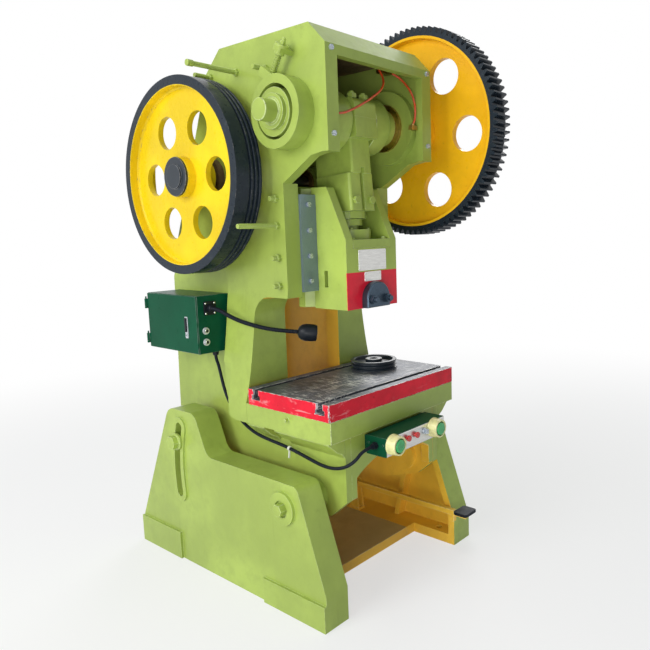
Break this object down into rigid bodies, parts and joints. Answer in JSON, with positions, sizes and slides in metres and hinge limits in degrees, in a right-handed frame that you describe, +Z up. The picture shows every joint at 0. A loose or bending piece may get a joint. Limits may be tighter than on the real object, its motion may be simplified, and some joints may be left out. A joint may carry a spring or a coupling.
{
  "type": "mechanical stamping press",
  "caption": "Open-back inclinable crank press with gear drive, flywheel, band brake, guided ram, slotted bolster, control box and foot pedal on tilting legs.",
  "frame": {"origin": "on the floor, straight under the working axis of the ram", "axes": "+Z up, -Y towards the operator, +X to the operator's right"},
  "size_m": [0.988, 1.309, 2.1139],
  "materials": {
    "paint_green": "gloss enamel",
    "paint_yellow": "gloss enamel",
    "paint_black": "gloss enamel",
    "paint_dark_green": "gloss enamel",
    "steel_bare": "ground",
    "steel_dark": "oiled",
    "steel_table": "worn, red at the edges",
    "steel_button": "plated",
    "brass": "oiled",
    "rubber_black": "matte",
    "plastic_black": "matte",
    "plastic_cream": "gloss",
    "plastic_green": "gloss",
    "plastic_red": "gloss",
    "plastic_white": "matte",
    "hose_red": "gloss"
  },
  "bodies": {
    "base": {"leg_left": "paint_green", "leg_right": "paint_green", "floor_plate": "paint_yellow", "pivot_pins": "paint_green", "pedal_bracket": "paint_green"},
    "frame": {"frame_side_left": "paint_green", "frame_side_right": "paint_green", "frame_bed": "paint_green", "frame_head_shell": "paint_green", "frame_guide_housing": "paint_green", "frame_rear_ties": "paint_green", "bolster": "steel_table", "gib_left": "steel_bare", "gib_right": "steel_bare", "hex_screws": "steel_dark", "gib_adjusters": "steel_dark", "head_studs": "steel_dark", "crank_bushes": "brass", "pinion_bushes": "brass", "brake_band": "paint_green", "brake_bolt": "steel_dark", "brake_spring": "steel_dark", "tilt_clamp_bolts": "paint_green", "cabinet_box": "paint_dark_green", "lamp_arm": "rubber_black", "lamp_head": "plastic_black", "control_box": "paint_dark_green", "button_cups": "plastic_cream", "control_cable": "rubber_black", "cable_glands": "plastic_black", "cable_tie": "plastic_white", "hose_left": "hose_red", "hose_right": "hose_red", "grease_fittings": "brass"},
    "crank": {"crankshaft": "paint_green", "brake_drum": "paint_green", "crank_end_nut": "paint_black"},
    "gear": {"bull_gear": "paint_yellow"},
    "flywheel": {"pinion_shaft": "steel_dark", "flywheel": "paint_yellow", "flywheel_cap": "paint_black"},
    "rod": {"connecting_rod": "paint_green", "rod_cap": "paint_green", "rod_bolts": "steel_dark", "ball_screw": "steel_dark", "ring_nut": "paint_green"},
    "ram": {"ram": "paint_green", "ball_cap": "paint_green", "shank_clamp": "steel_dark"},
    "pedal": {"pedal_lever": "paint_yellow", "pedal_pad": "rubber_black"},
    "door": {"cabinet_door": "paint_dark_green"},
    "cabinet_upper": {"cabinet_button_upper": "steel_button"},
    "cabinet_lower": {"cabinet_button_lower": "steel_button"},
    "palm_left": {"palm_button_left": "plastic_green"},
    "palm_right": {"palm_button_right": "plastic_green"},
    "red_left": {"red_button_left": "plastic_red"},
    "red_right": {"red_button_right": "plastic_red"},
    "key": {"key_switch": "steel_button"}
  },
  "joints": [
    {"name": "frame_tilt", "type": "hinge", "parent": "base", "child": "frame", "pos_m": [0, -0.04, 0.382], "axis": [-1, 0, 0], "range_deg": [0, 18]},
    {"name": "gear_spin", "type": "hinge", "parent": "frame", "child": "gear", "pos_m": [0, 0, 1.7], "axis": [1, 0, 0], "continuous": true},
    {"name": "flywheel_spin", "type": "hinge", "parent": "frame", "child": "flywheel", "pos_m": [0, 0.44965, 1.51558], "axis": [1, 0, 0], "continuous": true},
    {"name": "crank_turn", "type": "hinge", "parent": "frame", "child": "crank", "pos_m": [0, 0, 1.7], "axis": [1, 0, 0], "range_deg": [-45, 45]},
    {"name": "rod_swing", "type": "hinge", "parent": "crank", "child": "rod", "pos_m": [0, 0.04, 1.7], "axis": [1, 0, 0], "range_deg": [-46, 46]},
    {"name": "ram_slide", "type": "slide", "parent": "frame", "child": "ram", "axis": [0, 0, 1], "range_m": [-0.0293, 0.0293]},
    {"name": "pedal_press", "type": "hinge", "parent": "base", "child": "pedal", "pos_m": [0.286, 0.29, 0.163], "axis": [1, 0, 0], "range_deg": [0, 9], "stiffness_Nm_per_rad": 60, "springref_deg": -17.19},
    {"name": "door_swing", "type": "hinge", "parent": "frame", "child": "door", "pos_m": [-0.408, 0.759, 0.97], "axis": [0, 0, -1], "range_deg": [0, 110]},
    {"name": "cabinet_upper_press", "type": "slide", "parent": "frame", "child": "cabinet_upper", "axis": [0, 1, 0], "range_m": [0, 0.0025], "stiffness_N_per_m": 400, "springref_m": -0.002},
    {"name": "cabinet_lower_press", "type": "slide", "parent": "frame", "child": "cabinet_lower", "axis": [0, 1, 0], "range_m": [0, 0.0025], "stiffness_N_per_m": 400, "springref_m": -0.002},
    {"name": "palm_left_press", "type": "slide", "parent": "frame", "child": "palm_left", "axis": [0, 1, 0], "range_m": [0, 0.006], "stiffness_N_per_m": 800, "springref_m": -0.004},
    {"name": "palm_right_press", "type": "slide", "parent": "frame", "child": "palm_right", "axis": [0, 1, 0], "range_m": [0, 0.006], "stiffness_N_per_m": 800, "springref_m": -0.004},
    {"name": "red_left_press", "type": "slide", "parent": "frame", "child": "red_left", "axis": [0, 1, 0], "range_m": [0, 0.004], "stiffness_N_per_m": 400, "springref_m": -0.003},
    {"name": "red_right_press", "type": "slide", "parent": "frame", "child": "red_right", "axis": [0, 1, 0], "range_m": [0, 0.004], "stiffness_N_per_m": 400, "springref_m": -0.003},
    {"name": "key_turn", "type": "hinge", "parent": "frame", "child": "key", "pos_m": [0.044, -0.295, 0.578], "axis": [0, 1, 0], "range_deg": [0, 90]}
  ],
  "couplings": [
    {"joint": "flywheel_spin", "follows": "gear_spin", "ratio": -5},
    {"joint": "rod_swing", "follows": "crank_turn", "ratio": -1},
    {"joint": "ram_slide", "follows": "crank_turn", "m_per_rad": 0.0372}
  ]
}
